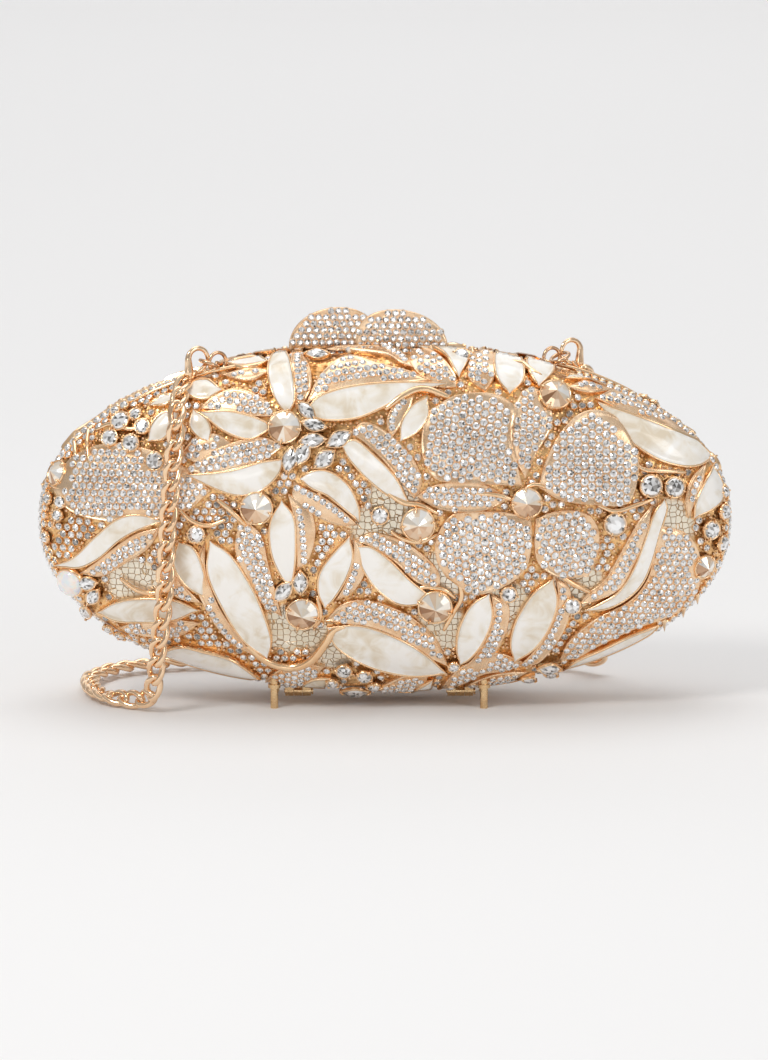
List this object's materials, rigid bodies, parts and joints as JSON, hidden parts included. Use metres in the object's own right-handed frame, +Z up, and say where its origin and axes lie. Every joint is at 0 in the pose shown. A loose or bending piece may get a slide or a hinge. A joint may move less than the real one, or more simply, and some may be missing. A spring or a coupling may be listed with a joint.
{
  "type": "evening bag",
  "caption": "Hard-shell oval clutch of two jewelled floral halves, hinged along the bottom, with a petal thumb clasp and a detachable curb-chain strap.",
  "frame": {"origin": "middle of the bag, on the surface its four feet stand on, in the plane where the halves meet", "axes": "+X along the width to the right as seen from the front, -Y out of the front, +Z up"},
  "size_m": [0.239, 0.1645, 0.1392],
  "materials": {
    "rose_gold": "polished rose-gold plate",
    "pave": "rose-gold plate set all over with small clear stones",
    "pearl_enamel": "marbled pearl enamel",
    "crystal": "clear foil-backed faceted crystal",
    "champagne_crystal": "champagne foil-backed faceted crystal",
    "opal": "milky opal cabochon",
    "embossed_skin": "metallic embossed scale skin",
    "lining": "champagne-gold satin over a moulded tray",
    "spring_steel": "bare wire"
  },
  "bodies": {
    "back_half": {"back_shell": "rose_gold", "back_skin": "embossed_skin", "back_lining": "lining", "back_frame": "rose_gold", "back_cup_chain": "crystal", "back_lily": "pearl_enamel", "back_rose": "pave", "back_leaves": "pearl_enamel", "back_rivolis": "champagne_crystal", "back_chatons": "crystal", "back_navettes": "crystal", "back_cabochons": "opal", "back_feet": "rose_gold", "back_hinge_leaves": "rose_gold", "hinge_pins": "rose_gold", "clasp_bracket": "rose_gold", "clasp_pin": "rose_gold", "clasp_spring": "spring_steel", "right_eyelet": "rose_gold", "right_claw": "rose_gold", "strap_tail": "rose_gold", "strap_coil": "rose_gold", "strap_rise": "rose_gold"},
    "front_half": {"front_shell": "rose_gold", "front_skin": "embossed_skin", "front_lining": "lining", "front_frame": "rose_gold", "front_cup_chain": "crystal", "front_lily": "pearl_enamel", "front_rose": "pave", "front_leaves": "pearl_enamel", "front_rivolis": "champagne_crystal", "front_chatons": "crystal", "front_navettes": "crystal", "front_cabochons": "opal", "front_feet": "rose_gold", "front_hinge_leaves": "rose_gold", "clasp_catch": "rose_gold", "left_eyelet": "rose_gold", "left_claw": "rose_gold", "strap_drop": "rose_gold"},
    "clasp_lever": {"clasp_lever": "rose_gold", "clasp_petal_left": "pave", "clasp_petal_right": "pave"},
    "left_ring": {"left_ring": "rose_gold"},
    "right_ring": {"right_ring": "rose_gold"},
    "left_claw_trigger": {"left_claw_trigger": "rose_gold"},
    "right_claw_trigger": {"right_claw_trigger": "rose_gold"}
  },
  "joints": [
    {"name": "front_open", "type": "hinge", "parent": "back_half", "child": "front_half", "pos_m": [0, 0, 0.003], "axis": [1, 0, 0], "range_deg": [0, 45]},
    {"name": "clasp_press", "type": "hinge", "parent": "back_half", "child": "clasp_lever", "pos_m": [-0.006, 0.0064, 0.1254], "axis": [-1, 0, 0], "range_deg": [0, 15], "stiffness_Nm_per_rad": 0.05, "springref_deg": -17.19},
    {"name": "left_ring_swing", "type": "hinge", "parent": "front_half", "child": "left_ring", "pos_m": [-0.0575, -0.005, 0.11732], "axis": [-0.5, 0.866, 0], "range_deg": [-8, 8]},
    {"name": "right_ring_swing", "type": "hinge", "parent": "back_half", "child": "right_ring", "pos_m": [0.0575, 0.005, 0.11732], "axis": [0.5, -0.866, 0], "range_deg": [-8, 8]},
    {"name": "left_trigger_pull", "type": "hinge", "parent": "front_half", "child": "left_claw_trigger", "pos_m": [-0.06412, -0.00882, 0.11589], "axis": [0.5, -0.866, 0], "range_deg": [0, 6], "stiffness_Nm_per_rad": 0.002, "springref_deg": -17.19},
    {"name": "right_trigger_pull", "type": "hinge", "parent": "back_half", "child": "right_claw_trigger", "pos_m": [0.06412, 0.00882, 0.11589], "axis": [-0.5, 0.866, 0], "range_deg": [0, 6], "stiffness_Nm_per_rad": 0.002, "springref_deg": -17.19}
  ]
}
